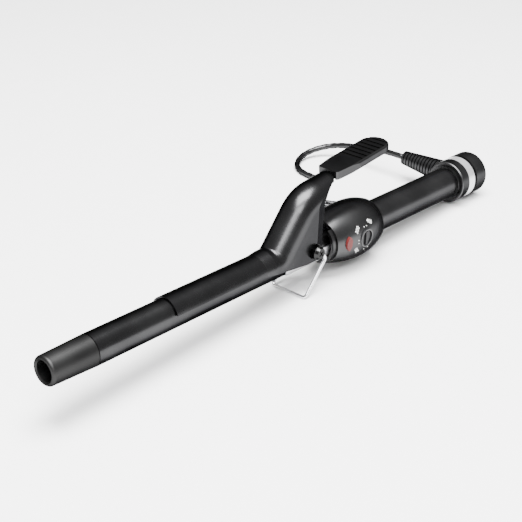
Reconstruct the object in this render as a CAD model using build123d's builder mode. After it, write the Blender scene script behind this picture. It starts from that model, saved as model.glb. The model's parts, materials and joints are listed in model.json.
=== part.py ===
"""Curling iron with a spring clip, a wire stand, a temperature dial and a swivel cord.

Lengths are in millimetres. Every piece of the iron is drawn in the iron's own frame: +X runs
along the barrel's axis from the tip to the cord end, +Z points to the clip's side, and the
plane Y = 0 halves the iron. set_down() then lays the piece in its resting pose, on the stand's
foot and the end cap, with the origin on the surface under the middle of the iron. The cord is
drawn where it lies on that surface.
"""
from build123d import *
from math import cos, pi, radians, sin, tan
import os

os.makedirs("parts", exist_ok=True)

# ---- Driving dimensions ------------------------------------------------------------------
LENGTH = 398.0            # nose of the tip to the back of the end cap
TILT = 3.0                # resting slope of the axis, in degrees, tip high

BARREL_R = 9.5            # a 19 mm (3/4 inch) barrel
BARREL_WALL = 0.9
TIP_LENGTH = 30.0
TIP_BORE_R = 6.0
TIP_BORE_DEPTH = 25.0
BARREL_END = 234.0

CLIP_START = 85.5         # front edge of the clip
CLIP_GAP = 0.3            # clip's inside to the barrel
SHEET = 0.85              # clip's sheet
HOOD_R = 11.55            # outside radius of the clip's neck

PIVOT_X = 203.5           # one axis for the clip and the stand
PIVOT_Z = 3.0
PIN_R = 2.0
RUNNING_FIT = 0.08        # radial play of what turns on a pin

BULB_START = 222.5
BULB_R = 19.3
BULB_END = 270.5
HANDLE_R = 11.05
HANDLE_END = 363.5
SHELL_WALL = 2.0

LENS_X = 231.0
DIAL_X = 246.5
CONTROL_Z = 1.0           # lens and dial stand just above the parting line
DIAL_R = 5.15
BEZEL_R = 5.9

SWIVEL_START = 366.4
SWIVEL_R = 15.0
BAND_START = 374.6
BAND_END = 381.8
SWIVEL_SPLIT = 382.6
CAP_R = 15.3
CAP_ROUND = 2.5
CORD_X = 381.0            # where the cord leaves the swivel
CORD_TURN = 2.5           # resting turn of the swivel, in degrees

RELIEF_ROOT_R = 8.3
RELIEF_TIP_R = 5.2
RELIEF_END = 46.5         # distance of its free end from the iron's axis

CORD_R = 2.25
WIRE_R = 1.0              # stand's wire

FIT = 0.05                # play between pieces of one body
CLEAR = 0.3               # play between pieces that move past each other

# ---- Resting pose ------------------------------------------------------------------------
SINE = sin(radians(TILT))
COSINE = cos(radians(TILT))
NOSE_R = 7.0
FLOOR_DROP = (LENGTH - CAP_ROUND) * SINE + (CAP_R - CAP_ROUND) * COSINE + CAP_ROUND
FRONT = -NOSE_R * SINE
BACK = LENGTH * COSINE + (CAP_R - CAP_ROUND) * SINE
RESTING = Location((-(FRONT + BACK) / 2, 0, FLOOR_DROP), (0, TILT, 0))


def set_down(piece, name):
    """Lay a finished piece in the resting pose, name it and write its STEP file."""
    piece.part = piece.part.moved(RESTING)
    piece.part.label = name
    export_step(piece.part, f"parts/{name}.step")


def row_point(x, y, z):
    """The resting place of a point of the iron's own frame."""
    return (RESTING * Location((x, y, z))).position


# The iron's own frame, seen as a profile plane: local x is along the barrel, local y is up.
SIDE = Plane(origin=(0, 0, 0), x_dir=(1, 0, 0), z_dir=(0, -1, 0))


def across(x):
    """A plane square to the barrel at x: local x is the iron's +Y, local y its +Z."""
    return Plane(origin=(x, 0, 0), x_dir=(0, 1, 0), z_dir=(1, 0, 0))


def turned(outline):
    """Revolve a side outline, given as (x, radius) pairs, round the barrel's axis."""
    with BuildPart() as body:
        with BuildSketch(SIDE):
            with BuildLine():
                Polyline(*outline, close=True)
            make_face()
        revolve(axis=Axis.X)
    return body.part


def pin(x, y_start, y_end, z, radius):
    """A round bar along Y."""
    with BuildPart() as bar:
        with BuildSketch(Plane(origin=(x, y_start, z), x_dir=(1, 0, 0), z_dir=(0, 1, 0))):
            Circle(radius)
        extrude(amount=y_end - y_start)
    return bar.part


# ---- Cool tip ----------------------------------------------------------------------------
TUBE_IN_R = BARREL_R - BARREL_WALL
SPIGOT_R = TUBE_IN_R - FIT

with BuildPart() as cool_tip:
    with BuildSketch(SIDE):
        with BuildLine():
            Polyline((0.8, TIP_BORE_R), (0, TIP_BORE_R + 0.8), (0, NOSE_R))
            RadiusArc((0, NOSE_R), (2.2, 8.7), 2.0)
            Polyline((2.2, 8.7), (TIP_LENGTH - 0.5, BARREL_R - 0.05), (TIP_LENGTH, BARREL_R - 0.4),
                     (TIP_LENGTH, SPIGOT_R), (TIP_LENGTH + 10, SPIGOT_R), (TIP_LENGTH + 10, 0),
                     (TIP_BORE_DEPTH, 0), (TIP_BORE_DEPTH, TIP_BORE_R), (0.8, TIP_BORE_R))
        make_face()
    revolve(axis=Axis.X)
set_down(cool_tip, "cool_tip")

# ---- Barrel and what heats it ------------------------------------------------------------
with BuildPart() as barrel:
    with BuildSketch(across(TIP_LENGTH)):
        Circle(BARREL_R)
        Circle(TUBE_IN_R, mode=Mode.SUBTRACT)
    extrude(amount=BARREL_END - TIP_LENGTH)
set_down(barrel, "barrel")

HEATER_START = 60.0
HEATER_END = 196.0
HEATER_HALF = 1.2
SPREADER_WALL = 1.2
SPREADER_R = TUBE_IN_R - FIT


def heat_spreader(side):
    """A hollow half-round bar, above (side 1) or below (side -1) the heater."""
    flat = side * (HEATER_HALF + FIT)
    with BuildPart() as bar:
        with BuildSketch(across(HEATER_START)):
            Circle(SPREADER_R)
            Circle(SPREADER_R - SPREADER_WALL, mode=Mode.SUBTRACT)
            with Locations((0, flat + side * SPREADER_WALL / 2)):
                Rectangle(2 * SPREADER_R, SPREADER_WALL)
            with Locations((0, flat - side * SPREADER_R)):
                Rectangle(2.2 * SPREADER_R, 2 * SPREADER_R, mode=Mode.SUBTRACT)
        extrude(amount=HEATER_END - HEATER_START)
        with BuildSketch(across(HEATER_START)):
            Circle(SPREADER_R)
        extrude(amount=HEATER_END - HEATER_START, mode=Mode.INTERSECT)
    return bar


for spreader_side, spreader_name in ((1, "heat_spreader_upper"), (-1, "heat_spreader_lower")):
    set_down(heat_spreader(spreader_side), spreader_name)

with BuildPart() as heater_plate:
    with Locations(((HEATER_START + HEATER_END) / 2, 0, 0)):
        Box(HEATER_END - HEATER_START - 4, 12, 2 * HEATER_HALF)
set_down(heater_plate, "heater_plate")

FUSE_X = 214.0
FUSE_R = 1.6
with BuildPart() as thermal_fuse:
    # it lies along the top of the tube's wall
    with BuildSketch(Plane(origin=(FUSE_X - 5, 0, TUBE_IN_R - FUSE_R), z_dir=(1, 0, 0))):
        Circle(FUSE_R)
    extrude(amount=10)
    fillet(thermal_fuse.edges(), 0.5)
set_down(thermal_fuse, "thermal_fuse")

# ---- Bracket that carries the clip and the stand -----------------------------------------
BRACKET_IN = BARREL_R + FIT
BRACKET_OUT = BRACKET_IN + 0.8
BRACKET_START = 178.0
BRACKET_END = 224.0

with BuildPart() as clamp_bracket:
    with BuildSketch(across(BRACKET_START)):
        with Locations((0, PIVOT_Z + 3)):
            Rectangle(2 * BRACKET_OUT, 2 * (PIVOT_Z + 3))
        Circle(BRACKET_OUT)
        Circle(BRACKET_IN, mode=Mode.SUBTRACT)
        with Locations((0, 10)):
            Rectangle(2 * BRACKET_IN, 20, mode=Mode.SUBTRACT)
    extrude(amount=BRACKET_END - BRACKET_START)
    # side outline: a low trough in front, an ear round the pivot, a low tail behind
    with BuildSketch(SIDE.offset(BRACKET_OUT + 1)):
        with BuildLine():
            Polyline((BRACKET_START, -4), (BRACKET_START + 9, -BRACKET_OUT - 1),
                     (BRACKET_END, -BRACKET_OUT - 1), (BRACKET_END, 2),
                     (PIVOT_X + 8, 2), (PIVOT_X + 5, PIVOT_Z + 5.5),
                     (PIVOT_X - 5, PIVOT_Z + 5.5), (PIVOT_X - 9, 0),
                     (BRACKET_START, -2), close=True)
        make_face()
    extrude(amount=-2 * (BRACKET_OUT + 1), mode=Mode.INTERSECT)
    add(pin(PIVOT_X, -20, 20, PIVOT_Z, PIN_R + FIT), mode=Mode.SUBTRACT)
set_down(clamp_bracket, "clamp_bracket")

# ---- Pivot screws, washers and stand wire: one stack on each side ------------------------
EAR_OUT = HOOD_R
WASHER_OUT = EAR_OUT + 0.65
WIRE_Y = WASHER_OUT + 0.1 + WIRE_R
HEAD_IN = WIRE_Y + WIRE_R + 0.1
HEAD_R = 4.15
HEAD_OUT = HEAD_IN + 1.9

with BuildPart() as pivot_screws:
    for side in (-1, 1):
        head_plane = Plane(origin=(PIVOT_X, side * HEAD_IN, PIVOT_Z), z_dir=(0, side, 0))
        add(pin(PIVOT_X, side * (BARREL_R + 2 * FIT), side * HEAD_IN, PIVOT_Z, PIN_R))
        with BuildSketch(head_plane):
            Circle(HEAD_R)
        extrude(amount=HEAD_OUT - HEAD_IN, taper=18)
        with BuildSketch(head_plane.offset(HEAD_OUT - HEAD_IN)):
            Rectangle(4.2, 0.8, rotation=35)
            Rectangle(0.8, 4.2, rotation=35)
        extrude(amount=-0.9, mode=Mode.SUBTRACT)
set_down(pivot_screws, "pivot_screws")

with BuildPart() as pivot_washers:
    for side in (-1, 1):
        start = side * (EAR_OUT + 0.1)
        add(pin(PIVOT_X, start, side * WASHER_OUT, PIVOT_Z, 5.0))
    add(pin(PIVOT_X, -20, 20, PIVOT_Z, PIN_R + FIT), mode=Mode.SUBTRACT)
set_down(pivot_washers, "pivot_washers")

KNEE = (PIVOT_X + 8.0, PIVOT_Z - 6.5)
FOOT_X = 193.3
FOOT_Z = (FOOT_X * SINE - FLOOR_DROP + WIRE_R) / COSINE
EYE_R = PIN_R + RUNNING_FIT + WIRE_R

with BuildPart() as wire_stand:
    with BuildLine() as stand_line:
        FilletPolyline((PIVOT_X + EYE_R * 0.72, -WIRE_Y, PIVOT_Z + EYE_R * 0.72),
                       (KNEE[0], -WIRE_Y, KNEE[1]), (FOOT_X, -WIRE_Y, FOOT_Z),
                       (FOOT_X, WIRE_Y, FOOT_Z), (KNEE[0], WIRE_Y, KNEE[1]),
                       (PIVOT_X + EYE_R * 0.72, WIRE_Y, PIVOT_Z + EYE_R * 0.72), radius=2.2)
    with BuildSketch(Plane(origin=stand_line.line @ 0, z_dir=stand_line.line % 0)):
        Circle(WIRE_R)
    sweep()
    for side in (-1, 1):
        eye_plane = Plane(origin=(PIVOT_X, side * WIRE_Y, PIVOT_Z), z_dir=(0, 1, 0))
        with Locations(eye_plane):
            Torus(EYE_R, WIRE_R)
set_down(wire_stand, "wire_stand")

# ---- Clip: one pressing with a trough, a hood-shaped neck, two ears and a tongue ---------
BEND_LOW = (177.3, 0.0)
BEND_HIGH = (203.4, 32.2)
TONGUE_END = (262.0, 38.6)
TONGUE_HALF = 5.8
TONGUE_TIP = 260.0
PAD_START = 226.0
THUMB_SCREWS = (236.0, 252.0)
SCREW_R = 1.2
FLARE_START = 160.0
NECK_START = 168.0
TROUGH_HALF_ANGLE = 75.0
TROUGH_IN = BARREL_R + CLIP_GAP
TROUGH_OUT = TROUGH_IN + SHEET


def neck_rod(radius):
    """Half of a bent round bar whose flat underside is the neck's centre line."""
    with BuildPart() as rod:
        with BuildLine(SIDE) as path:
            FilletPolyline((NECK_START, 0), BEND_LOW, BEND_HIGH, TONGUE_END, radius=[13.5, 20])
        with BuildSketch(across(NECK_START)):
            Circle(radius)
            with Locations((0, -radius)):
                Rectangle(2 * radius + 1, 2 * radius, mode=Mode.SUBTRACT)
        sweep(path=path.line)
    return rod.part


def cheek_block(half_width, grow):
    """The solid between the two ears, below the neck's centre line."""
    with BuildPart() as block:
        with BuildSketch(SIDE.offset(half_width)):
            with BuildLine():
                top = FilletPolyline((NECK_START, 0), BEND_LOW, BEND_HIGH,
                                     (216, BEND_HIGH[1] + 12.6 * 0.1092), radius=[13.5, 20])
                Polyline(top @ 1, (212.5 + grow, 29), (210.5 + grow, 22), (210 + grow, 3),
                         (207.5 + grow, -2 - grow), (203.5, -3.5 - grow), (196, -3.5 - grow),
                         (184, -2.2 - grow), (NECK_START, -0.4 - grow), top @ 0)
            make_face()
        extrude(amount=-2 * half_width)
    return block.part


def plan_outline():
    """The neck's outline from above: full width, then drawn in to the tongue."""
    wide = HOOD_R + 0.1
    narrow = 7.2
    with BuildPart() as plan:
        with BuildSketch(Plane.XY.offset(-20)):
            with BuildLine():
                one_side = [(NECK_START - 1, wide), (204, wide), (213, wide - 1.2), (222, narrow),
                            (223.4, narrow), (PAD_START - 1, TONGUE_HALF), (256, TONGUE_HALF),
                            (TONGUE_TIP, TONGUE_HALF - 3)]
                other_side = [(x, -y) for x, y in reversed(one_side)]
                Polyline(*one_side, *other_side, close=True)
            make_face()
        extrude(amount=90)
    return plan.part


with BuildPart() as clamp_blade:
    # neck and ears
    add(neck_rod(HOOD_R))
    add(cheek_block(HOOD_R, 0))
    add(neck_rod(HOOD_R - SHEET), mode=Mode.SUBTRACT)
    add(cheek_block(HOOD_R - SHEET, 5), mode=Mode.SUBTRACT)
    add(plan_outline(), mode=Mode.INTERSECT)
    # flare from the trough to the neck
    with BuildSketch(across(FLARE_START)):
        Circle(TROUGH_OUT)
    with BuildSketch(across(NECK_START)):
        Circle(HOOD_R)
    loft()
    with BuildSketch(across(FLARE_START)):
        Circle(TROUGH_IN)
    with BuildSketch(across(NECK_START)):
        Circle(HOOD_R - SHEET)
    loft(mode=Mode.SUBTRACT)
    # trough over the barrel
    with BuildSketch(across(CLIP_START)):
        Circle(TROUGH_OUT)
        Circle(TROUGH_IN, mode=Mode.SUBTRACT)
    extrude(amount=FLARE_START - CLIP_START)
    # lower edge of trough and flare
    trough_low = TROUGH_OUT * cos(radians(TROUGH_HALF_ANGLE))
    with BuildSketch(SIDE.offset(20)):
        with BuildLine():
            Polyline((CLIP_START - 1, trough_low), (140, trough_low), (NECK_START, -0.4),
                     (NECK_START, -20), (CLIP_START - 1, -20), close=True)
        make_face()
    extrude(amount=-40, mode=Mode.SUBTRACT)
    add(pin(PIVOT_X, -20, 20, PIVOT_Z, PIN_R + RUNNING_FIT), mode=Mode.SUBTRACT)
    # two small holes in the tongue for the thumb rest's screws
    with BuildSketch(Plane.XY.offset(20)):
        with Locations(*[(screw_x, 0) for screw_x in THUMB_SCREWS]):
            Circle(SCREW_R + FIT)
    extrude(amount=40, mode=Mode.SUBTRACT)
set_down(clamp_blade, "clamp_blade")

# ---- Thumb rest --------------------------------------------------------------------------
TONGUE_SLOPE = (TONGUE_END[1] - BEND_HIGH[1]) / (TONGUE_END[0] - BEND_HIGH[0])
PAD_END = 282.5
PAD_HALF = 10.0
PAD_FRONT_HALF = 7.8
PAD_LOW_Z = 43.0
PAD_SLOPE = 7.0
PAD_THICK = 5.4
RIB_COUNT = 7
RIB_PITCH = 4.6


def tongue_under(x):
    """Height of the tongue's underside on the middle plane at x."""
    return BEND_HIGH[1] + (x - BEND_HIGH[0]) * TONGUE_SLOPE + HOOD_R - SHEET


def pad_plane(lift):
    """A plane along the pad, lifted above its underside."""
    frame = Plane(origin=(PAD_START, 0, PAD_LOW_Z), x_dir=(cos(radians(PAD_SLOPE)), 0,
                                                           sin(radians(PAD_SLOPE))),
                  z_dir=(-sin(radians(PAD_SLOPE)), 0, cos(radians(PAD_SLOPE))))
    return frame.offset(lift)


with BuildPart(mode=Mode.PRIVATE) as tongue_space:
    add(neck_rod(HOOD_R + FIT))
    with BuildSketch(Plane.XY.offset(PAD_LOW_Z - 10)):
        with Locations(((PAD_START + TONGUE_TIP) / 2, 0)):
            Rectangle(TONGUE_TIP + 2 - PAD_START, 2 * (TONGUE_HALF + FIT))
    extrude(amount=30, mode=Mode.INTERSECT)
tongue_block = tongue_space.part

with BuildPart() as thumb_rest:
    pad_length = (PAD_END - PAD_START) / cos(radians(PAD_SLOPE))
    with BuildSketch(pad_plane(0)):
        with BuildLine():
            Polyline((pad_length - PAD_HALF, -PAD_HALF), (20, -PAD_HALF),
                     (1.0, -PAD_FRONT_HALF), (0, 1 - PAD_FRONT_HALF),
                     (0, PAD_FRONT_HALF - 1), (1.0, PAD_FRONT_HALF), (20, PAD_HALF),
                     (pad_length - PAD_HALF, PAD_HALF))
            ThreePointArc((pad_length - PAD_HALF, PAD_HALF), (pad_length, 0),
                          (pad_length - PAD_HALF, -PAD_HALF))
        make_face()
    extrude(amount=PAD_THICK)
    top_edges = thumb_rest.faces().sort_by(Axis.Z)[-1].edges()
    fillet(top_edges, 1.4)
    # grip grooves between the ribs
    with BuildSketch(pad_plane(PAD_THICK - 0.6)):
        with GridLocations(RIB_PITCH, 0, RIB_COUNT, 1):
            with Locations((22 + RIB_PITCH * RIB_COUNT / 2, 0)):
                SlotOverall(2 * PAD_HALF - 3.2, 1.8, rotation=90)
    extrude(amount=2, mode=Mode.SUBTRACT)
    # groove, open below, that the clip's tongue lies in
    add(tongue_block, mode=Mode.SUBTRACT)
    for screw_x in THUMB_SCREWS:
        with BuildSketch(Plane.XY.offset(tongue_under(screw_x))):
            with Locations((screw_x, 0)):
                Circle(SCREW_R + FIT)
        extrude(amount=2.6, mode=Mode.SUBTRACT)
set_down(thumb_rest, "thumb_rest")

with BuildPart() as thumb_rest_screws:
    for screw_x in THUMB_SCREWS:
        seat = Plane.XY.offset(tongue_under(screw_x) - 0.35)
        with BuildSketch(seat):
            with Locations((screw_x, 0)):
                Circle(2.2)
        extrude(amount=-1.2)
        with BuildSketch(seat):
            with Locations((screw_x, 0)):
                Circle(SCREW_R)
        extrude(amount=2.8)
set_down(thumb_rest_screws, "thumb_rest_screws")

# ---- Leaf spring that holds the clip shut ------------------------------------------------
SPRING_FOLD = (196.5, 13.0)
SPRING_TOP = (212.5, 42.6)
SPRING_THICK = 0.6
SPRING_FOOT_Z = BARREL_R + FIT + SPRING_THICK / 2

with BuildPart() as clamp_spring:
    with BuildLine(SIDE) as leaf:
        FilletPolyline((BULB_START + 6, SPRING_FOOT_Z), (SPRING_FOLD[0] - 4, SPRING_FOOT_Z),
                       (SPRING_FOLD[0] - 0.5, SPRING_FOLD[1]), SPRING_TOP, radius=1.6)
    with BuildSketch(Plane(origin=leaf.line @ 0, x_dir=(0, 1, 0), z_dir=leaf.line % 0)):
        Rectangle(7, SPRING_THICK)
    sweep(path=leaf.line)
set_down(clamp_spring, "clamp_spring")

# ---- Housing: bulb and handle in two half shells -----------------------------------------
COLLAR_START = 219.0
COLLAR_R = 13.6
FLANGE_R = 12.5
HOLLOW_R = HANDLE_R - SHELL_WALL


def housing_outside():
    """Outside of the bulb, the handle and the handle's end flange."""
    with BuildPart() as body:
        with BuildSketch(SIDE):
            with BuildLine():
                Line((COLLAR_START, 0), (COLLAR_START, COLLAR_R))
                Polyline((COLLAR_START, COLLAR_R), (BULB_START, COLLAR_R), (BULB_START, 14.6))
                Spline((BULB_START, 14.6), (230, 16.8), (240, 18.7), (250, BULB_R), (260, 18.5),
                       (BULB_END - 2, 16.0))
                RadiusArc((BULB_END - 2, 16.0), (BULB_END, 13.6), 2.2)
                Polyline((BULB_END, 13.6), (BULB_END, HANDLE_R), (HANDLE_END, HANDLE_R),
                         (HANDLE_END, FLANGE_R), (HANDLE_END + 2.5, FLANGE_R),
                         (HANDLE_END + 2.5, 0), (COLLAR_START, 0))
            make_face()
        revolve(axis=Axis.X)
    return body.part


def housing_inside():
    """The hollow of the bulb and the handle."""
    with BuildPart() as body:
        with BuildSketch(SIDE):
            with BuildLine():
                Polyline((COLLAR_START - 1, 0), (COLLAR_START - 1, 11.5), (BULB_START + 1, 11.5),
                         (BULB_START + 2, 12.8))
                Spline((BULB_START + 2, 12.8), (231, 14.9), (240, 16.6), (250, BULB_R - SHELL_WALL),
                       (259, 16.5), (BULB_END - 3, 13.2))
                Polyline((BULB_END - 3, 13.2), (BULB_END - 2.2, HOLLOW_R),
                         (HANDLE_END + 3, HOLLOW_R), (HANDLE_END + 3, 0), (COLLAR_START - 1, 0))
            make_face()
        revolve(axis=Axis.X)
    return body.part


HOUSING_SCREWS = ((258.0, 4.0), (318.0, 0.0))
BOSS_R = 2.7
SOCKET_START = 225.0
SOCKET_END = 240.0
SOCKET_R = 11.4

outside = housing_outside()
inside = housing_inside()


def housing_shell(side):
    """One half shell, upper (side 1) or lower (side -1), with its ribs, bosses and holes."""
    with BuildPart() as shell:
        add(outside)
        add(inside, mode=Mode.SUBTRACT)
        # ribs that hold the barrel's socket, and a wall behind the bulb
        for rib_x, rib_radius in ((SOCKET_START + 3, 15.2), (SOCKET_END - 3, 17.0)):
            with BuildSketch(across(rib_x - 0.8)):
                Circle(rib_radius)
                Circle(SOCKET_R + FIT, mode=Mode.SUBTRACT)
            extrude(amount=1.6)
        for boss_x, boss_y in HOUSING_SCREWS:
            reach = 17.5 if boss_x < BULB_END else HANDLE_R - 1
            with BuildSketch(Plane.XY.offset(-reach)):
                with Locations((boss_x, boss_y)):
                    Circle(BOSS_R)
            extrude(amount=2 * reach)
        # keep this half only
        with Locations(((COLLAR_START + LENGTH) / 2, 0, -side * 25)):
            Box(LENGTH, 60, 50, mode=Mode.SUBTRACT)
        # holes for the dial's bezel, the lens and the screws
        add(pin(DIAL_X, -25, -12, CONTROL_Z, BEZEL_R + 0.02), mode=Mode.SUBTRACT)
        add(lens_prism(FIT), mode=Mode.SUBTRACT)
        for boss_x, boss_y in HOUSING_SCREWS:
            with BuildSketch(Plane.XY.offset(-20)):
                with Locations((boss_x, boss_y)):
                    Circle(SCREW_R + FIT)
            extrude(amount=26, mode=Mode.SUBTRACT)
            with BuildSketch(Plane.XY.offset(-20)):
                with Locations((boss_x, boss_y)):
                    Circle(2.6)
            extrude(amount=20 - screw_seat(boss_x), mode=Mode.SUBTRACT)
        if side > 0:
            # slot in the collar for the clip's neck and the spring
            with Locations((COLLAR_START, 0, 12)):
                Box(2 * (BULB_START - COLLAR_START), 16, 12, mode=Mode.SUBTRACT)
    return shell


def screw_seat(boss_x):
    """Depth below the axis of the face that a housing screw's head seats on."""
    return 12.0 if boss_x < BULB_END else 7.5


def lens_prism(grow):
    """A pointed leaf, longest across the parting line, standing out through the shell."""
    half_width = 2.9 + grow
    half_height = 4.9 + grow
    with BuildPart() as prism:
        with BuildSketch(Plane(origin=(LENS_X, -13, CONTROL_Z), x_dir=(1, 0, 0), z_dir=(0, -1, 0))):
            with BuildLine():
                ThreePointArc((0, -half_height), (half_width, 0), (0, half_height))
                ThreePointArc((0, half_height), (-half_width, 0), (0, -half_height))
            make_face()
        extrude(amount=4.6)
    return prism.part


set_down(housing_shell(1), "housing_upper")
set_down(housing_shell(-1), "housing_lower")

with BuildPart() as housing_screws:
    for boss_x, boss_y in HOUSING_SCREWS:
        seat = Plane.XY.offset(-screw_seat(boss_x))
        with BuildSketch(seat):
            with Locations((boss_x, boss_y)):
                Circle(SCREW_R)
        extrude(amount=screw_seat(boss_x) + 5.5)
        with BuildSketch(seat):
            with Locations((boss_x, boss_y)):
                Circle(2.3)
        extrude(amount=-1.6)
set_down(housing_screws, "housing_screws")

# ---- Socket that holds the barrel in the housing -----------------------------------------
with BuildPart() as barrel_socket:
    add(turned([(SOCKET_START, BARREL_R + FIT), (SOCKET_START, SOCKET_R), (SOCKET_END, SOCKET_R),
                (SOCKET_END, BARREL_R - 2.5), (BARREL_END + 0.1, BARREL_R - 2.5),
                (BARREL_END + 0.1, BARREL_R + FIT)]))
    # slot for the spring's foot, which lies on the barrel
    with Locations((SOCKET_START, 0, 11)):
        Box(10, 7.4, 4, mode=Mode.SUBTRACT)
set_down(barrel_socket, "barrel_socket")

# ---- Controls ----------------------------------------------------------------------------
BOARD_Y = -7.8

BOARD_START = 243.0
BOARD_END = 265.5
BOARD_THICK = 1.6
BOARD_INNER = BOARD_Y + BOARD_THICK / 2      # face that the wires are soldered to

with BuildPart() as control_board:
    with Locations(((BOARD_START + BOARD_END) / 2, BOARD_Y, 0)):
        Box(BOARD_END - BOARD_START, BOARD_THICK, 17)
set_down(control_board, "control_board")

POT_IN = BOARD_Y - BOARD_THICK / 2 - FIT
with BuildPart() as dial_potentiometer:
    with Locations((DIAL_X, POT_IN - 2, CONTROL_Z)):
        Box(10, 4, 10)
    add(pin(DIAL_X, POT_IN - 4, POT_IN - 6, CONTROL_Z, 3.2))
    add(pin(DIAL_X, POT_IN - 8, POT_IN + 1, CONTROL_Z, 1.5 + RUNNING_FIT), mode=Mode.SUBTRACT)
set_down(dial_potentiometer, "dial_potentiometer")

with BuildPart() as dial_bezel:
    add(pin(DIAL_X, -BULB_R, -BULB_R + 3.2, CONTROL_Z, BEZEL_R))
    add(pin(DIAL_X, -BULB_R - 1, -BULB_R + 5, CONTROL_Z, DIAL_R + 0.15), mode=Mode.SUBTRACT)
set_down(dial_bezel, "dial_bezel")

DIAL_FACE = -BULB_R + 0.1
with BuildPart() as dial_knob:
    add(pin(DIAL_X, DIAL_FACE + 0.9, DIAL_FACE + 2.2, CONTROL_Z, DIAL_R))
    add(pin(DIAL_X, DIAL_FACE + 2.2, POT_IN - 0.2, CONTROL_Z, 1.5))
    with Locations((DIAL_X, DIAL_FACE + 0.45, CONTROL_Z)):
        Box(2.0, 0.9, 2 * DIAL_R - 1.4)
set_down(dial_knob, "dial_knob")

with BuildPart() as indicator_lens:
    add(lens_prism(0))
set_down(indicator_lens, "indicator_lens")

with BuildPart() as indicator_lamp:
    with BuildSketch(Plane(origin=(LENS_X + 0.5, -12.9, CONTROL_Z), z_dir=(0, 1, 0))):
        Rectangle(2.2, 3.4)
    extrude(amount=1.3)
set_down(indicator_lamp, "indicator_lamp")

# ---- Inner wires -------------------------------------------------------------------------
LEAD_R = 0.55


def lead(points, bend, radius):
    """A wire along a line of points with rounded corners."""
    with BuildPart() as wire:
        with BuildLine() as route:
            FilletPolyline(*points, radius=bend)
        with BuildSketch(Plane(origin=route.line @ 0, z_dir=route.line % 0)):
            Circle(radius)
        sweep(path=route.line)
    return wire.part


with BuildPart() as heater_leads:
    for side in (-1, 1):
        add(lead([(HEATER_END - 2, 2.4 * side, 0), (238, 2.4 * side, 0), (250, 0, 3.0 * side),
                  (250, BOARD_INNER, 3.0 * side)], 2.2, LEAD_R))
set_down(heater_leads, "heater_leads")

CONTACT_START = 342.0
CONTACT_Z = 6.6
LEAD_Y = -4.4             # the wires pass beside the handle's screw
with BuildPart() as supply_leads:
    for side in (-1, 1):
        add(lead([(261, BOARD_INNER, 5.4 * side), (261, LEAD_Y, 5.4 * side),
                  (326, LEAD_Y, 5.4 * side), (334, 0, CONTACT_Z * side),
                  (CONTACT_START, 0, CONTACT_Z * side)], 1.5, LEAD_R))
set_down(supply_leads, "supply_leads")

# ---- Swivel: bearing in the handle, core in the end shells -------------------------------
CORE_R = 6.0
BEARING_START = 354.0
BEARING_END = HANDLE_END + 2.4

with BuildPart() as swivel_bearing:
    add(turned([(BEARING_START, CORE_R + RUNNING_FIT), (BEARING_START, HOLLOW_R - FIT),
                (BEARING_END, HOLLOW_R - FIT), (BEARING_END, CORE_R + RUNNING_FIT)]))
set_down(swivel_bearing, "swivel_bearing")

with BuildPart() as swivel_core:
    add(turned([(343.0, 1.5), (343.0, 3.8), (BEARING_START - 3, 3.8), (BEARING_START - 3, 7.6),
                (BEARING_START - CLEAR, 7.6), (BEARING_START - CLEAR, CORE_R),
                (SWIVEL_START + 5, CORE_R), (SWIVEL_START + 5, 4.2), (BEARING_START, 4.2),
                (BEARING_START, 1.5)]))
set_down(swivel_core, "swivel_core")

RING_R = 4.9
with BuildPart() as slip_rings:
    for ring_x in (344.0, 347.6):
        add(turned([(ring_x, 3.8), (ring_x, RING_R), (ring_x + 2, RING_R), (ring_x + 2, 3.8)]))
set_down(slip_rings, "slip_rings")

with BuildPart() as contact_carrier:
    add(turned([(338, 2), (338, HOLLOW_R - FIT), (350, HOLLOW_R - FIT), (350, 7.6), (341, 7.6),
                (341, 2)]))
    for side in (-1, 1):
        with Locations((340, 0, CONTACT_Z * side)):
            Box(8, 2, 2, mode=Mode.SUBTRACT)
set_down(contact_carrier, "contact_carrier")

with BuildPart() as contact_springs:
    for side, ring_x in ((-1, 345.0), (1, 348.6)):
        with Locations(((CONTACT_START + ring_x + 0.8) / 2, 0, side * (7.1 + FIT))):
            Box(ring_x + 0.8 - CONTACT_START, 3, 0.5)
        with Locations((ring_x, 0, side * (RING_R + 0.25 + 0.95))):
            Box(1.4, 3, 1.9)
set_down(contact_springs, "contact_springs")

# Planes whose z axis points out along the strain relief
TURN = radians(CORD_TURN)
CORD_OUT = (0, cos(TURN), sin(TURN))


def relief_plane(distance):
    """A plane square to the strain relief, at a distance from the iron's axis."""
    return Plane(origin=(CORD_X, distance * CORD_OUT[1], distance * CORD_OUT[2]),
                 x_dir=(1, 0, 0), z_dir=CORD_OUT)


def relief_hole(radius):
    """Bar along the strain relief that opens its hole in the shells."""
    with BuildPart() as bar:
        with BuildSketch(relief_plane(5)):
            Circle(radius)
        extrude(amount=15)
    return bar.part


CAP_FLOOR = LENGTH - 2.5     # inside of the end cap's back wall
CAP_SCREW_Z = 9.2
CAP_SCREW_BITE = 8.0

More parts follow.
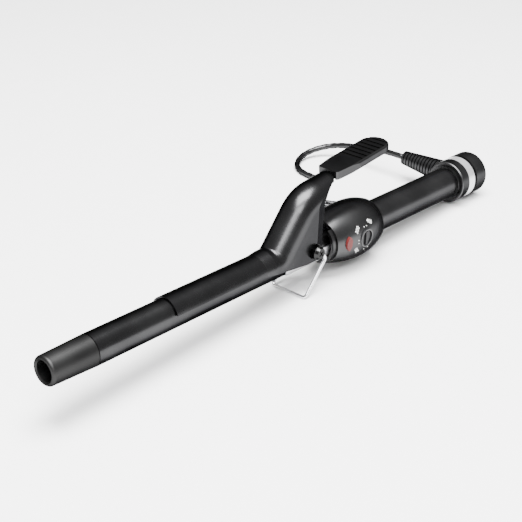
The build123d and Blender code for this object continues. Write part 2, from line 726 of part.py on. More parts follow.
with BuildPart() as swivel_front_shell:
    add(turned([(SWIVEL_START, CORE_R + FIT), (SWIVEL_START, SWIVEL_R - 0.6),
                (SWIVEL_START + 0.6, SWIVEL_R), (BAND_START, SWIVEL_R),
                (BAND_START, SWIVEL_R - 0.8), (SWIVEL_SPLIT, SWIVEL_R - 0.8),
                (SWIVEL_SPLIT, 12.6), (SWIVEL_START + 2.5, 12.6),
                (SWIVEL_START + 2.5, CORE_R + FIT)]))
    add(relief_hole(RELIEF_ROOT_R + FIT), mode=Mode.SUBTRACT)
    # posts that the end cap's screws bite into
    for side in (-1, 1):
        with BuildSketch(across(SWIVEL_START + 2)):
            with Locations((0, CAP_SCREW_Z * side)):
                Circle(2.4)
        extrude(amount=CAP_FLOOR - FIT - SWIVEL_START - 2)
        with BuildSketch(across(CAP_FLOOR)):
            with Locations((0, CAP_SCREW_Z * side)):
                Circle(SCREW_R)
        extrude(amount=-CAP_SCREW_BITE, mode=Mode.SUBTRACT)
set_down(swivel_front_shell, "swivel_front_shell")

with BuildPart() as rating_band:
    add(turned([(BAND_START + 0.1, SWIVEL_R - 0.75), (BAND_START + 0.1, SWIVEL_R + 0.05),
                (BAND_END, SWIVEL_R + 0.05), (BAND_END, SWIVEL_R - 0.75)]))
    add(relief_hole(RELIEF_ROOT_R + 0.6), mode=Mode.SUBTRACT)
set_down(rating_band, "rating_band")

with BuildPart() as swivel_rear_cap:
    with BuildSketch(SIDE):
        with BuildLine():
            Polyline((SWIVEL_SPLIT + FIT, 12.0), (SWIVEL_SPLIT + FIT, SWIVEL_R - 0.9),
                     (384.2, SWIVEL_R - 0.9), (384.2, CAP_R), (LENGTH - CAP_ROUND, CAP_R))
            RadiusArc((LENGTH - CAP_ROUND, CAP_R), (LENGTH, CAP_R - CAP_ROUND), CAP_ROUND)
            Polyline((LENGTH, CAP_R - CAP_ROUND), (LENGTH, 0), (CAP_FLOOR, 0),
                     (CAP_FLOOR, 12.0), (SWIVEL_SPLIT + FIT, 12.0))
        make_face()
    revolve(axis=Axis.X)
    add(relief_hole(RELIEF_ROOT_R + FIT), mode=Mode.SUBTRACT)
    for side in (-1, 1):
        with BuildSketch(across(CAP_FLOOR - 1)):
            with Locations((0, CAP_SCREW_Z * side)):
                Circle(SCREW_R + FIT)
        extrude(amount=5, mode=Mode.SUBTRACT)
        with BuildSketch(across(LENGTH - 1.2)):
            with Locations((0, CAP_SCREW_Z * side)):
                Circle(2.3)
        extrude(amount=5, mode=Mode.SUBTRACT)
set_down(swivel_rear_cap, "swivel_rear_cap")

with BuildPart() as end_cap_screws:
    for side in (-1, 1):
        with BuildSketch(across(LENGTH - 1.2)):
            with Locations((0, CAP_SCREW_Z * side)):
                Circle(SCREW_R)
        extrude(amount=-(LENGTH - 1.2 - CAP_FLOOR + CAP_SCREW_BITE - 1))
        with BuildSketch(across(LENGTH - 1.2)):
            with Locations((0, CAP_SCREW_Z * side)):
                Circle(2.2)
        extrude(amount=1.0)
set_down(end_cap_screws, "end_cap_screws")

# ---- Strain relief: flanged root in the swivel, then a ribbed taper ----------------------
RELIEF_RIBS = 12
RIB_ZONE_START = 14.0
GROOVE_DEPTH = 0.9
relief_pitch = (RELIEF_END - RIB_ZONE_START) / RELIEF_RIBS


def relief_radius(distance):
    """Radius of the strain relief's ribs at a distance from the iron's axis."""
    share = (distance - RIB_ZONE_START) / (RELIEF_END - RIB_ZONE_START)
    return RELIEF_ROOT_R + share * (RELIEF_TIP_R - RELIEF_ROOT_R)


relief_outline = [(0, 6.4), (8.8, 6.4), (8.8, 7.6), (RELIEF_ROOT_R, 7.6),
                  (RELIEF_ROOT_R, RIB_ZONE_START)]
for rib in range(RELIEF_RIBS):
    groove_start = RIB_ZONE_START + rib * relief_pitch
    rib_start = groove_start + 0.36 * relief_pitch
    rib_end = groove_start + relief_pitch
    relief_outline += [(relief_radius(groove_start) - GROOVE_DEPTH, groove_start + 0.25),
                       (relief_radius(rib_start) - GROOVE_DEPTH, rib_start - 0.25),
                       (relief_radius(rib_start), rib_start),
                       (relief_radius(rib_end), rib_end)]
relief_outline += [(0, RELIEF_END)]

with BuildPart() as strain_relief:
    with BuildSketch(Plane(origin=(CORD_X, 0, 0), x_dir=(1, 0, 0),
                           z_dir=(0, -CORD_OUT[2], CORD_OUT[1]))):
        with BuildLine():
            Polyline(*relief_outline, close=True)
        make_face()
    revolve(axis=Axis((CORD_X, 0, 0), CORD_OUT))
set_down(strain_relief, "strain_relief")

# ---- Cord: from the strain relief to a coil behind the iron, and on to its plug ----------
EXIT = row_point(CORD_X, RELIEF_END * CORD_OUT[1], RELIEF_END * CORD_OUT[2])
STRAIGHT_OUT = row_point(CORD_X, 61.0 * CORD_OUT[1], 61.0 * CORD_OUT[2])
COIL_X = 79.1
COIL_Y = 41.0
COIL_MIDDLE_R = 22.5
COIL_WIDE = 4
COIL_HIGH = 2
COIL_OUT_R = COIL_MIDDLE_R + COIL_WIDE * CORD_R
COIL_IN_R = COIL_MIDDLE_R - COIL_WIDE * CORD_R
COIL_TURN_R = COIL_OUT_R - CORD_R      # centre line of the outermost turn
TAIL_ANGLE = 162.0                     # where the cord leaves the coil
TAIL_Z = 3 * CORD_R
PLUG_START = (20.6, 27.7, 6.2)         # cord end of the plug, which points to -X

CORD_ROUTE = [tuple(EXIT), tuple(STRAIGHT_OUT), (182.2, 84.0, 15.4), (183.4, 110.0, 10.4),
              (174.8, 123.0, 7.2), (160.2, 128.0, 4.4), (145.8, 123.0, 2.6),
              (136.8, 110.5, CORD_R), (136.0, 94.0, CORD_R), (126.5, 79.5, CORD_R),
              (104.0, 71.0, CORD_R), (COIL_X, COIL_Y + COIL_TURN_R, CORD_R)]
TAIL_ROUTE = [(COIL_X + COIL_TURN_R * cos(radians(TAIL_ANGLE)),
               COIL_Y + COIL_TURN_R * sin(radians(TAIL_ANGLE)), TAIL_Z),
              (48.0, 39.9, 5.4), (40.9, 32.0, 4.4), (31.2, 27.7, 5.4), PLUG_START]


def bend_radii(route):
    """As large a bend at each point as its two runs allow."""
    radii = []
    for before, here, after in zip(route, route[1:], route[2:]):
        run_in = Vector(*here) - Vector(*before)
        run_out = Vector(*after) - Vector(*here)
        half_turn = radians(run_in.get_angle(run_out)) / 2
        radii.append(0.45 * min(run_in.length, run_out.length) / tan(half_turn))
    return radii


def cord_tube(route):
    """The cord's outside along a route, as straight runs joined by tangent arcs."""
    radii = bend_radii(route)
    print("bend radii", [round(radius, 1) for radius in radii])
    with BuildPart() as tube:
        with BuildLine() as centre:
            FilletPolyline(*route, radius=radii)
        with BuildSketch(Plane(origin=centre.line @ 0, z_dir=centre.line % 0)):
            Circle(CORD_R)
        sweep(path=centre.line)
    length = sum(edge.length for edge in centre.line.edges())
    print("length", round(length, 1), "volume over section times length",
          round(tube.part.volume / (pi * CORD_R**2 * length), 4))
    return tube.part


def export_cord(solid, name):
    """Name and write a piece that is already drawn where it lies."""
    solid.label = name
    export_step(solid, f"parts/{name}.step")


export_cord(cord_tube(CORD_ROUTE), "power_cord")
export_cord(cord_tube(TAIL_ROUTE), "power_cord_tail")

with BuildPart() as power_cord_coil:
    with BuildSketch():
        with Locations((COIL_X, COIL_Y)):
            Circle(COIL_OUT_R)
            Circle(COIL_IN_R, mode=Mode.SUBTRACT)
    extrude(amount=2 * COIL_HIGH * CORD_R)
    fillet(power_cord_coil.edges(), 1.8)
export_cord(power_cord_coil.part, "power_cord_coil")

# ---- Plug --------------------------------------------------------------------------------
PLUG_RELIEF = 14.0
PLUG_BODY = 24.0
PLUG_WIDE = 17.0
PLUG_HIGH = 12.2
BLADE_LONG = 15.9
BLADE_WIDE = 6.3
BLADE_THICK = 1.5
BLADE_PITCH = 12.7

plug_plane = Plane(origin=PLUG_START, x_dir=(0, -1, 0), z_dir=(-1, 0, 0))
with BuildPart() as plug_body:
    with BuildSketch(plug_plane):
        Circle(CORD_R + 0.9)
    with BuildSketch(plug_plane.offset(PLUG_RELIEF)):
        Circle(CORD_R + 2.2)
    loft()
    with BuildSketch(plug_plane.offset(PLUG_RELIEF)):
        RectangleRounded(11, 9, 3)
    with BuildSketch(plug_plane.offset(PLUG_RELIEF + 8)):
        RectangleRounded(PLUG_WIDE, PLUG_HIGH, 4)
    loft()
    with BuildSketch(plug_plane.offset(PLUG_RELIEF + 8)):
        RectangleRounded(PLUG_WIDE, PLUG_HIGH, 4)
    extrude(amount=PLUG_BODY - 8)
    with BuildSketch(plug_plane.offset(PLUG_RELIEF + PLUG_BODY)):
        with GridLocations(BLADE_PITCH - 1, 0, 2, 1):
            Rectangle(BLADE_THICK, BLADE_WIDE)
    extrude(amount=-8, mode=Mode.SUBTRACT)
export_cord(plug_body.part, "plug_body")

with BuildPart() as plug_blades:
    with BuildSketch(plug_plane.offset(PLUG_RELIEF + PLUG_BODY - 8)):
        with GridLocations(BLADE_PITCH - 1, 0, 2, 1):
            Rectangle(BLADE_THICK, BLADE_WIDE)
    extrude(amount=BLADE_LONG + 8)
export_cord(plug_blades.part, "plug_blades")
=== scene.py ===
"""A spring-clip curling iron with its wire stand, dial, swivel and cord, dressed and lit."""
from __future__ import annotations

import json
import logging
import math
from dataclasses import dataclass, field
from enum import Enum

import bmesh
import bpy
from mathutils import Matrix, Vector
from mathutils.bvhtree import BVHTree

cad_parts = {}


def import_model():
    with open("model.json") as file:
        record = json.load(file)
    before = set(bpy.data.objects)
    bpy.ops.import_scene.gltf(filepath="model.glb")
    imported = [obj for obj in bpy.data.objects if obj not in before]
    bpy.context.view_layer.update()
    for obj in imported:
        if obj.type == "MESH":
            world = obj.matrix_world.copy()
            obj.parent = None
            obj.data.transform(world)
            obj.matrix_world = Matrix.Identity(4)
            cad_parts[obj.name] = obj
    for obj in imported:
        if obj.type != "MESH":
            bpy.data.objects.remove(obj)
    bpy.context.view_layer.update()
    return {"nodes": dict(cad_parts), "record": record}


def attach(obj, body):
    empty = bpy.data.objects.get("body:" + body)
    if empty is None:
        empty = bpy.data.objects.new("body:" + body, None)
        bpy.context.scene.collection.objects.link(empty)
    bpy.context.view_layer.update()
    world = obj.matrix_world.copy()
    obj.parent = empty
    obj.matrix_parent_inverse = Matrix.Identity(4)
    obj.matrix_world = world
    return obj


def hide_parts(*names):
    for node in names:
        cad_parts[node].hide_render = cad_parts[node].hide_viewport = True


LOG = logging.getLogger("curling_iron")
Point = tuple[float, float, float]

# The iron rests with its tip up: its axis starts at this place and falls by this angle.
TIP_X = -0.19888
TIP_Z = 0.03598
TILT = math.radians(3.0)

# Every finish has a fine relief and a broad mottling, which drives its colour and roughness.
RELIEF_DETAIL = 4.0
MOTTLE_DETAIL = 3.0
MOTTLE_SCALE = 45.0
COLOR_SPAN = (0.35, 0.7)
SMEAR_SPAN = (0.3, 0.75)


def row_point(x: float, y: float, z: float) -> Vector:
    """Turn a point of the iron's own frame into the resting frame.

    Args:
        x: Distance from the tip along the barrel's axis, in metres.
        y: Distance to the far side, in metres.
        z: Distance from the axis towards the clip, in metres.

    Returns:
        The same point where the iron rests.
    """
    along = TIP_X + x * math.cos(TILT) + z * math.sin(TILT)
    height = TIP_Z - x * math.sin(TILT) + z * math.cos(TILT)
    return Vector((along, y, height))


class Grain(Enum):
    """Which way the fine relief of a surface runs."""

    EVEN = (1.0, 1.0, 1.0)
    RINGS = (14.0, 1.0, 1.0)
    LENGTHWISE = (0.06, 1.0, 1.0)


@dataclass(frozen=True)
class Finish:
    """A procedural surface: a colour with mottling, a roughness with smears and a fine relief."""

    name: str
    color: Point
    mottle: Point
    roughness: float
    smear: float = 0.06
    grain_size: float = 0.0005
    relief: float = 0.00001
    metallic: float = 0.0
    specular: float = 0.5
    edge_tint: float = 1.0
    coat: float = 0.0
    coat_roughness: float = 0.05
    transmission: float = 0.0
    grain: Grain = Grain.EVEN

    def build(self) -> bpy.types.Material:
        """Make the node material.

        Returns:
            The finished material, on Object coordinates.
        """
        material = bpy.data.materials.new(self.name)
        material.use_nodes = True
        nodes = material.node_tree.nodes
        links = material.node_tree.links
        shader = nodes["Principled BSDF"]
        shader.inputs["Metallic"].default_value = self.metallic
        shader.inputs["Specular IOR Level"].default_value = self.specular
        tint = self.edge_tint
        shader.inputs["Specular Tint"].default_value = (tint, tint, tint, 1.0)
        shader.inputs["Coat Weight"].default_value = self.coat
        shader.inputs["Coat Roughness"].default_value = self.coat_roughness
        shader.inputs["Transmission Weight"].default_value = self.transmission
        place = nodes.new("ShaderNodeTexCoord")
        lay = nodes.new("ShaderNodeMapping")
        lay.inputs["Scale"].default_value = self.grain.value
        links.new(place.outputs["Object"], lay.inputs["Vector"])
        fine = self._noise(nodes, links, lay, 1.0 / self.grain_size, RELIEF_DETAIL)
        broad = self._noise(nodes, links, place, MOTTLE_SCALE, MOTTLE_DETAIL)
        blend = nodes.new("ShaderNodeMix")
        blend.data_type = "RGBA"
        blend.inputs["A"].default_value = (*self.color, 1.0)
        blend.inputs["B"].default_value = (*self.mottle, 1.0)
        spread = self._range(nodes, *COLOR_SPAN, 0.0, 1.0)
        links.new(broad.outputs["Fac"], spread.inputs["Value"])
        links.new(spread.outputs["Result"], blend.inputs["Factor"])
        links.new(blend.outputs["Result"], shader.inputs["Base Color"])
        rough = self._range(nodes, *SMEAR_SPAN, self.roughness - self.smear / 2,
                            self.roughness + self.smear / 2)
        links.new(broad.outputs["Fac"], rough.inputs["Value"])
        links.new(rough.outputs["Result"], shader.inputs["Roughness"])
        bump = nodes.new("ShaderNodeBump")
        bump.inputs["Distance"].default_value = self.relief
        links.new(fine.outputs["Fac"], bump.inputs["Height"])
        links.new(bump.outputs["Normal"], shader.inputs["Normal"])
        return material

    @staticmethod
    def _noise(nodes: bpy.types.Nodes, links: bpy.types.NodeLinks, source: bpy.types.Node,
               scale: float, detail: float) -> bpy.types.Node:
        """Add a noise texture fed by a coordinate or mapping node.

        Args:
            nodes: The material's nodes.
            links: The material's links.
            source: The node that the texture's place comes from.
            scale: How many grains there are to a metre.
            detail: How many finer layers the noise has.

        Returns:
            The noise texture.
        """
        noise = nodes.new("ShaderNodeTexNoise")
        noise.inputs["Scale"].default_value = scale
        noise.inputs["Detail"].default_value = detail
        output = source.outputs.get("Object") or source.outputs["Vector"]
        links.new(output, noise.inputs["Vector"])
        return noise

    @staticmethod
    def _range(nodes: bpy.types.Nodes, low: float, high: float, to_low: float,
               to_high: float) -> bpy.types.Node:
        """Add a Map Range node with these ends.

        Args:
            nodes: The material's nodes.
            low: Where the incoming span starts.
            high: Where the incoming span ends.
            to_low: Where the outgoing span starts.
            to_high: Where the outgoing span ends.

        Returns:
            The Map Range node.
        """
        spread = nodes.new("ShaderNodeMapRange")
        spread.inputs["From Min"].default_value = low
        spread.inputs["From Max"].default_value = high
        spread.inputs["To Min"].default_value = to_low
        spread.inputs["To Max"].default_value = to_high
        return spread


ENAMEL = Finish("black_enamel", (0.032, 0.032, 0.033), (0.04, 0.04, 0.041), 0.27,
                grain_size=0.004, relief=0.00002, metallic=1.0, edge_tint=0.15)
TIP_PLASTIC = Finish("tip_plastic", (0.024, 0.024, 0.024), (0.029, 0.029, 0.029), 0.46,
                     grain_size=0.0004, relief=0.00003, metallic=1.0, edge_tint=0.2)
SATIN = Finish("satin_plastic", (0.05, 0.05, 0.051), (0.062, 0.062, 0.063), 0.33,
               grain_size=0.0004, relief=0.000012, metallic=1.0, edge_tint=0.15)
GRIP = Finish("grip_plastic", (0.036, 0.036, 0.037), (0.046, 0.046, 0.047), 0.3,
              grain_size=0.0004, relief=0.00002, metallic=1.0, edge_tint=0.3)
CHROME = Finish("chrome_wire", (0.62, 0.62, 0.64), (0.7, 0.7, 0.71), 0.1, smear=0.05,
                grain_size=0.0006, relief=0.000004, metallic=1.0)
STEEL = Finish("bracket_steel", (0.34, 0.34, 0.35), (0.42, 0.42, 0.43), 0.32,
               grain_size=0.0007, relief=0.00001, metallic=1.0, grain=Grain.LENGTHWISE)
SPRING_STEEL = Finish("spring_steel", (0.1, 0.11, 0.13), (0.16, 0.165, 0.19), 0.3,
                      grain_size=0.0007, relief=0.00001, metallic=1.0, grain=Grain.LENGTHWISE)
BLACK_SCREW = Finish("black_screw", (0.03, 0.03, 0.03), (0.045, 0.045, 0.045), 0.24,
                     grain_size=0.0004, relief=0.00001, metallic=1.0, edge_tint=0.3)
ALUMINIUM = Finish("cast_aluminium", (0.55, 0.55, 0.57), (0.64, 0.64, 0.65), 0.4,
                   grain_size=0.0008, relief=0.00003, metallic=1.0)
CERAMIC = Finish("heater_ceramic", (0.7, 0.69, 0.65), (0.78, 0.76, 0.7), 0.55,
                 grain_size=0.0008, relief=0.00002)
LENS = Finish("red_lens", (0.07, 0.012, 0.012), (0.11, 0.02, 0.018), 0.42,
              grain_size=0.0012, relief=0.00004, specular=0.15, edge_tint=0.3)
BEZEL = Finish("bezel_gray", (0.01, 0.01, 0.011), (0.016, 0.016, 0.017), 0.3,
               grain_size=0.0006, relief=0.000006, specular=0.4)
SILVER = Finish("silver_band", (0.5, 0.5, 0.51), (0.62, 0.62, 0.63), 0.26, smear=0.12,
                grain_size=0.001, relief=0.00001, metallic=0.75, grain=Grain.RINGS)
BOARD = Finish("board_laminate", (0.02, 0.1, 0.04), (0.03, 0.14, 0.06), 0.4,
               grain_size=0.0005, relief=0.00001)
SLEEVE = Finish("lead_sleeve", (0.55, 0.52, 0.45), (0.62, 0.6, 0.53), 0.6,
                grain_size=0.0004, relief=0.00002)
BEARING = Finish("bearing_plastic", (0.62, 0.6, 0.55), (0.68, 0.66, 0.6), 0.4,
                 grain_size=0.0005, relief=0.00001)
BRASS = Finish("contact_brass", (0.55, 0.38, 0.14), (0.64, 0.47, 0.2), 0.25,
               grain_size=0.0006, relief=0.00001, metallic=1.0)
JACKET = Finish("cord_rubber", (0.034, 0.034, 0.035), (0.044, 0.044, 0.045), 0.32,
                grain_size=0.0004, relief=0.00002, metallic=1.0, edge_tint=0.3)
PRINT = Finish("white_print", (0.75, 0.75, 0.74), (0.66, 0.66, 0.65), 0.45,
               grain_size=0.0003, relief=0.000006)
PAPER = Finish("floor_paper", (0.93, 0.93, 0.93), (0.92, 0.92, 0.92), 0.9,
               grain_size=0.002, relief=0.000005, specular=0.1)

DRESS: dict[str, Finish] = {
    finish.name: finish
    for finish in (ENAMEL, TIP_PLASTIC, SATIN, GRIP, CHROME, STEEL, SPRING_STEEL, BLACK_SCREW,
                   ALUMINIUM, CERAMIC, LENS, BEZEL, SILVER, BOARD, SLEEVE, BEARING, BRASS, JACKET)
}


@dataclass
class Wardrobe:
    """Keeps one material for each finish and dresses pieces in it."""

    made: dict[str, bpy.types.Material] = field(default_factory=dict)

    def material(self, finish: Finish) -> bpy.types.Material:
        """Look up a finish's material, and make it on first use.

        Args:
            finish: The finish.

        Returns:
            Its material.
        """
        if finish.name not in self.made:
            self.made[finish.name] = finish.build()
        return self.made[finish.name]

    def dress(self, piece: bpy.types.Object, finish: Finish) -> None:
        """Give a piece one material all over."""
        piece.data.materials.clear()
        piece.data.materials.append(self.material(finish))

    def dress_nodes(self, nodes: dict[str, bpy.types.Object], record: dict) -> None:
        """Dress every CAD node in the finish of its material slot.

        The pivot washers are blackened like the screws that hold them.

        Args:
            nodes: The CAD nodes by name.
            record: The part's record.
        """
        slots = {part["node"]: part["material_slot"] for part in record["subparts"]}
        for name, piece in nodes.items():
            finish = BLACK_SCREW if name == "pivot_washers" else DRESS[slots[name]]
            for slot in piece.material_slots:
                slot.material = self.material(finish)
            LOG.info("dressed %s in %s", name, finish.name)


@dataclass(frozen=True)
class Softbox:
    """A rectangular soft light, hung at an offset from the place that it faces."""

    name: str
    offset: Point
    wide: float
    high: float
    power: float

    def hang(self, aim: Vector) -> None:
        """Hang the light so that it faces a place.

        Args:
            aim: The place.
        """
        data = bpy.data.lights.new(self.name, "AREA")
        data.shape = "RECTANGLE"
        data.size = self.wide
        data.size_y = self.high
        data.energy = self.power
        lamp = bpy.data.objects.new(self.name, data)
        lamp.location = aim + Vector(self.offset)
        lamp.rotation_euler = (aim - lamp.location).to_track_quat("-Z", "Y").to_euler()
        bpy.context.scene.collection.objects.link(lamp)


@dataclass
class Studio:
    """The camera, the lights and the pale floor."""

    camera_at: Point = (-0.4896, -0.4055, 0.3617)
    looks_along: Point = (0.658, 0.5847, -0.4741)
    lens: float = 79.7
    sensor: float = 36.0
    near_clip: float = 0.01
    floor_side: float = 12.0
    floor_drop: float = 0.0001
    room_light: float = 0.75
    aim: Point = (0.0, 0.0, 0.03)
    softboxes: tuple[Softbox, ...] = (
        Softbox("key", (-0.1, -0.15, 1.5), 1.1, 0.9, 130.0),
        Softbox("front", (-0.75, -0.75, 1.2), 0.9, 0.5, 34.0),
    )

    def build(self) -> None:
        """Set up everything that isn't the object."""
        self._camera()
        self._floor()
        self._room()
        for softbox in self.softboxes:
            softbox.hang(Vector(self.aim))

    def _camera(self) -> None:
        """Place the camera."""
        data = bpy.data.cameras.new("camera")
        data.lens = self.lens
        data.sensor_width = self.sensor
        data.clip_start = self.near_clip
        camera = bpy.data.objects.new("camera", data)
        camera.location = self.camera_at
        camera.rotation_euler = Vector(self.looks_along).to_track_quat("-Z", "Y").to_euler()
        bpy.context.scene.collection.objects.link(camera)
        bpy.context.scene.camera = camera

    def _floor(self) -> None:
        """Lay a wide white floor."""
        mesh = bpy.data.meshes.new("floor")
        shape = bmesh.new()
        bmesh.ops.create_grid(shape, x_segments=1, y_segments=1, size=self.floor_side / 2)
        shape.to_mesh(mesh)
        shape.free()
        floor = bpy.data.objects.new("floor", mesh)
        floor.location.z = -self.floor_drop
        bpy.context.scene.collection.objects.link(floor)
        mesh.materials.append(PAPER.build())

    def _room(self) -> None:
        """Light the room evenly."""
        world = bpy.data.worlds.new("room")
        world.use_nodes = True
        background = world.node_tree.nodes["Background"]
        background.inputs["Color"].default_value = (1.0, 1.0, 1.0, 1.0)
        background.inputs["Strength"].default_value = self.room_light
        bpy.context.scene.world = world


@dataclass
class Cord:
    """The mains cord: out of the strain relief, round to its resting coil, and to the plug."""

    radius: float = 0.00225
    length: float = 1.227
    relief_x: float = 0.381
    relief_rise: float = math.radians(2.5)
    relief_end: float = 0.0465
    straight_end: float = 0.061
    turn_back: tuple[Point, ...] = (
        (0.1822, 0.084, 0.0154), (0.1834, 0.11, 0.0104), (0.1748, 0.123, 0.0072),
        (0.1602, 0.128, 0.0044), (0.1458, 0.123, 0.0026), (0.1368, 0.1105, 0.00225),
        (0.136, 0.094, 0.00225), (0.1265, 0.0795, 0.00225), (0.104, 0.071, 0.00225),
    )
    to_plug: tuple[Point, ...] = (
        (0.048, 0.0399, 0.0054), (0.0409, 0.032, 0.0044), (0.0312, 0.0277, 0.0054),
        (0.0206, 0.0277, 0.0062),
    )
    coil_middle: tuple[float, float] = (0.0791, 0.041)
    outer_turn: float = 0.02925
    rings: int = 4
    points_per_turn: int = 24
    step_share: float = 0.17
    start_angle: float = 90.0
    end_angle: float = 72.0
    twist_pitch: float = 0.0135
    lobe: float = 0.1
    sides: int = 20

    def lead_in(self) -> list[Point]:
        """List the route's points from the strain relief to the coil.

        Returns:
            The points, of which the first two run straight out of the relief.
        """
        sideways = math.cos(self.relief_rise)
        upwards = math.sin(self.relief_rise)
        out = [tuple(row_point(self.relief_x, reach * sideways, reach * upwards))
               for reach in (self.relief_end, self.straight_end)]
        return [*out, *self.turn_back]

    def coil(self) -> list[Point]:
        """List the coil's points: rings inwards on the floor, then outwards on top of them.

        Returns:
            The points from the outermost ring on the floor to the one above it.
        """
        pitch = 2 * self.radius
        total = 2 * self.rings - 1 + self.end_angle / 360
        count = round(total * self.points_per_turn)
        points = []
        for index in range(count + 1):
            turned = total * index / count
            whole = min(int(turned), 2 * self.rings - 1)
            step = max(0.0, (turned - whole - 1 + self.step_share) / self.step_share)
            eased = step * step * (3 - 2 * step)
            layer = whole // self.rings
            ring = whole % self.rings if layer == 0 else 2 * self.rings - 1 - whole
            height = self.radius + pitch * layer
            if whole == self.rings - 1:
                height += pitch * eased
            elif layer == 0:
                ring += eased
            else:
                ring -= eased
            reach = self.outer_turn - pitch * ring
            angle = math.radians(self.start_angle) + 2 * math.pi * turned
            points.append((self.coil_middle[0] + reach * math.cos(angle),
                           self.coil_middle[1] + reach * math.sin(angle), height))
        return points

    def centre_line(self) -> list[Vector]:
        """Run a smooth line through the whole route.

        Returns:
            The line's points, in order.
        """
        data = bpy.data.curves.new("cord_line", "CURVE")
        data.dimensions = "3D"
        data.resolution_u = 8
        spline = data.splines.new("NURBS")
        route = [*self.lead_in(), *self.coil(), *self.to_plug]
        spline.points.add(len(route) - 1)
        for point, place in zip(spline.points, route):
            point.co = (*place, 1.0)
        spline.order_u = 3
        spline.use_endpoint_u = True
        line = bpy.data.objects.new("cord_line", data)
        bpy.context.scene.collection.objects.link(line)
        mesh = bpy.data.meshes.new_from_object(line)
        points = [vertex.co.copy() for vertex in mesh.vertices]
        bpy.data.objects.remove(line)
        bpy.data.meshes.remove(mesh)
        return points

    def build(self, wardrobe: Wardrobe) -> bpy.types.Object:
        """Make the twisted jacket along the route.

        Args:
            wardrobe: Where the jacket's material comes from.

        Returns:
            The cord's object.
        """
        line = self.centre_line()
        shape = bmesh.new()
        rings = []
        travelled = 0.0
        across = Vector((0.0, 0.0, 1.0))
        for index, place in enumerate(line):
            before = line[max(index - 1, 0)]
            after = line[min(index + 1, len(line) - 1)]
            along = (after - before).normalized()
            across = (across - along * across.dot(along)).normalized()
            other = along.cross(across)
            if index:
                travelled += (place - before).length
            phase = 2 * math.pi * travelled / self.twist_pitch
            ring = []
            for side in range(self.sides):
                angle = 2 * math.pi * side / self.sides
                swell = 1 - self.lobe * (1 - abs(math.cos(angle - phase))) ** 2 * 2
                reach = self.radius * swell
                ring.append(shape.verts.new(place + reach * (math.cos(angle) * across
                                                             + math.sin(angle) * other)))
            rings.append(ring)
        for ring, following in zip(rings, rings[1:]):
            for side in range(self.sides):
                beside = (side + 1) % self.sides
                shape.faces.new((ring[side], ring[beside], following[beside], following[side]))
        shape.faces.new(list(reversed(rings[0])))
        shape.faces.new(rings[-1])
        bmesh.ops.recalc_face_normals(shape, faces=shape.faces)
        cord = finish_piece(shape, "mains_cord", wardrobe, JACKET)
        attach(cord, "iron")
        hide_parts("power_cord", "power_cord_coil", "power_cord_tail")
        LOG.info("cord %.3f m long", travelled)
        return cord


def finish_piece(shape: bmesh.types.BMesh, name: str, wardrobe: Wardrobe,
                 finish: Finish) -> bpy.types.Object:
    """Turn a bmesh into a smooth, dressed object.

    Args:
        shape: The finished bmesh, which is freed.
        name: The piece's name.
        wardrobe: Where its material comes from.
        finish: Its finish.

    Returns:
        The new object.
    """
    mesh = bpy.data.meshes.new(name)
    for face in shape.faces:
        face.smooth = True
    shape.to_mesh(mesh)
    shape.free()
    piece = bpy.data.objects.new(name, mesh)
    bpy.context.scene.collection.objects.link(piece)
    wardrobe.dress(piece, finish)
    LOG.info("made %s in %s", name, finish.name)
    return piece


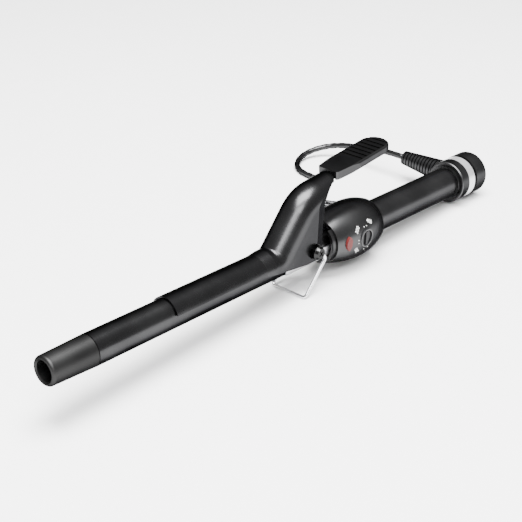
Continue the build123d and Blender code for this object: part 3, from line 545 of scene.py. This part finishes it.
@dataclass
class DialScale:
    """White temperature numbers and dots printed on the housing round the dial."""

    centre_x: float = 0.2465
    centre_z: float = 0.001
    number_reach: float = 0.0105
    dot_reach: float = 0.0078
    numbers: tuple[tuple[str, float], ...] = (("200", 218.0), ("300", 137.0), ("400", 62.0))
    dot_angles: tuple[float, ...] = (100.0, 82.0, 176.0, 192.0, 262.0, 290.0)
    letter: float = 0.0031
    stroke: float = 0.00003
    dot_radius: float = 0.00032
    thickness: float = 0.00008
    in_front: float = 0.04
    search: float = 0.05

    def build(self, wardrobe: Wardrobe, housing: list[bpy.types.Object]) -> None:
        """Print the scale on the housing's skin.

        Args:
            wardrobe: Where the print's material comes from.
            housing: The shells that it is printed on.
        """
        skins = [self._skin(shell) for shell in housing]
        for text, angle in self.numbers:
            self._print(self._number(text, angle), f"dial_number_{text}", skins, wardrobe)
        for index, angle in enumerate(self.dot_angles):
            self._print(self._dot(angle), f"dial_dot_{index}", skins, wardrobe)

    @staticmethod
    def _skin(shell: bpy.types.Object) -> BVHTree:
        """Make a search tree of a shell's surface, in the resting frame."""
        places = [shell.matrix_world @ vertex.co for vertex in shell.data.vertices]
        return BVHTree.FromPolygons(places, [tuple(face.vertices) for face in shell.data.polygons])

    def _seat(self, angle: float, reach: float) -> tuple[float, float]:
        """Work out where a mark stands.

        Args:
            angle: Its direction from the dial's middle, in degrees.
            reach: Its distance from there.

        Returns:
            Its (x, z) in the iron's own frame.
        """
        turn = math.radians(angle)
        return (self.centre_x + reach * math.cos(turn), self.centre_z + reach * math.sin(turn))

    def _number(self, text: str, angle: float) -> bmesh.types.BMesh:
        """Lay a number out flat in front of the dial.

        Args:
            text: The number.
            angle: Its direction from the dial's middle, in degrees.

        Returns:
            Its flat faces, in the iron's own frame.
        """
        data = bpy.data.curves.new("number", "FONT")
        data.body = text
        data.size = self.letter
        data.align_x = "CENTER"
        data.align_y = "CENTER"
        data.offset = self.stroke
        made = bpy.data.objects.new("number", data)
        bpy.context.scene.collection.objects.link(made)
        flat = bpy.data.meshes.new_from_object(made)
        bpy.data.objects.remove(made)
        shape = bmesh.new()
        shape.from_mesh(flat)
        bpy.data.meshes.remove(flat)
        x, z = self._seat(angle, self.number_reach)
        stand = Matrix.Translation((x, 0.0, z)) @ Matrix.Rotation(math.radians(90), 4, "X")
        turn = Matrix.Rotation(math.radians(angle - 90), 4, "Z")
        bmesh.ops.transform(shape, matrix=stand @ turn, verts=shape.verts)
        return shape

    def _dot(self, angle: float) -> bmesh.types.BMesh:
        """Lay a dot out flat in front of the dial.

        Args:
            angle: Its direction from the dial's middle, in degrees.

        Returns:
            Its flat face, in the iron's own frame.
        """
        shape = bmesh.new()
        bmesh.ops.create_circle(shape, cap_ends=True, segments=16, radius=self.dot_radius)
        x, z = self._seat(angle, self.dot_reach)
        stand = Matrix.Translation((x, 0.0, z)) @ Matrix.Rotation(math.radians(90), 4, "X")
        bmesh.ops.transform(shape, matrix=stand, verts=shape.verts)
        return shape

    def _print(self, shape: bmesh.types.BMesh, name: str, skins: list[BVHTree],
               wardrobe: Wardrobe) -> None:
        """Press a flat mark onto the housing, proud of it by the print's thickness.

        Args:
            shape: The mark's flat faces.
            name: The mark's name.
            skins: The housing's surfaces.
            wardrobe: Where the print's material comes from.
        """
        bmesh.ops.triangulate(shape, faces=shape.faces)
        bmesh.ops.subdivide_edges(shape, edges=shape.edges, cuts=1)
        for vertex in shape.verts:
            start = row_point(vertex.co.x, -self.in_front, vertex.co.z)
            hits = [skin.ray_cast(start, Vector((0.0, 1.0, 0.0)), self.search)[0] for skin in skins]
            nearest = min((hit for hit in hits if hit), key=lambda hit: hit.y)
            vertex.co = nearest - Vector((0.0, self.thickness, 0.0))
        ink = finish_piece(shape, name, wardrobe, PRINT)
        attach(ink, "iron")


@dataclass
class StandHubs:
    """Black hubs that the wire stand's eyes are moulded into, one on each side."""

    pivot_x: float = 0.2035
    pivot_z: float = 0.003
    middle_y: float = 0.0133
    radius: float = 0.0046
    half_width: float = 0.00115
    rounding: float = 0.0003
    sharp: float = 1.0

    def build(self, wardrobe: Wardrobe) -> None:
        """Make both hubs.

        Args:
            wardrobe: Where their material comes from.
        """
        for side, name in ((-1, "stand_hub_near"), (1, "stand_hub_far")):
            shape = bmesh.new()
            bmesh.ops.create_cone(shape, cap_ends=True, segments=48, radius1=self.radius,
                                  radius2=self.radius, depth=2 * self.half_width)
            rims = [edge for edge in shape.edges if edge.calc_face_angle(0.0) > self.sharp]
            bmesh.ops.bevel(shape, geom=rims, offset=self.rounding, segments=3, profile=0.5,
                            affect="EDGES", material=-1)
            turn = Matrix.Rotation(math.radians(90), 4, "X")
            place = row_point(self.pivot_x, side * self.middle_y, self.pivot_z)
            bmesh.ops.transform(shape, matrix=Matrix.Translation(place) @ turn, verts=shape.verts)
            hub = finish_piece(shape, name, wardrobe, BLACK_SCREW)
            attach(hub, "stand")


def main() -> None:
    """Build the pieces in order and report them."""
    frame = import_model()
    wardrobe = Wardrobe()
    Studio().build()
    Cord().build(wardrobe)
    wardrobe.dress_nodes(frame["nodes"], frame["record"])
    nodes = frame["nodes"]
    StandHubs().build(wardrobe)
    DialScale().build(wardrobe, [nodes["housing_upper"], nodes["housing_lower"]])


if __name__ == "__main__":
    logging.basicConfig(level=logging.INFO, format="%(name)s: %(message)s")
    main()
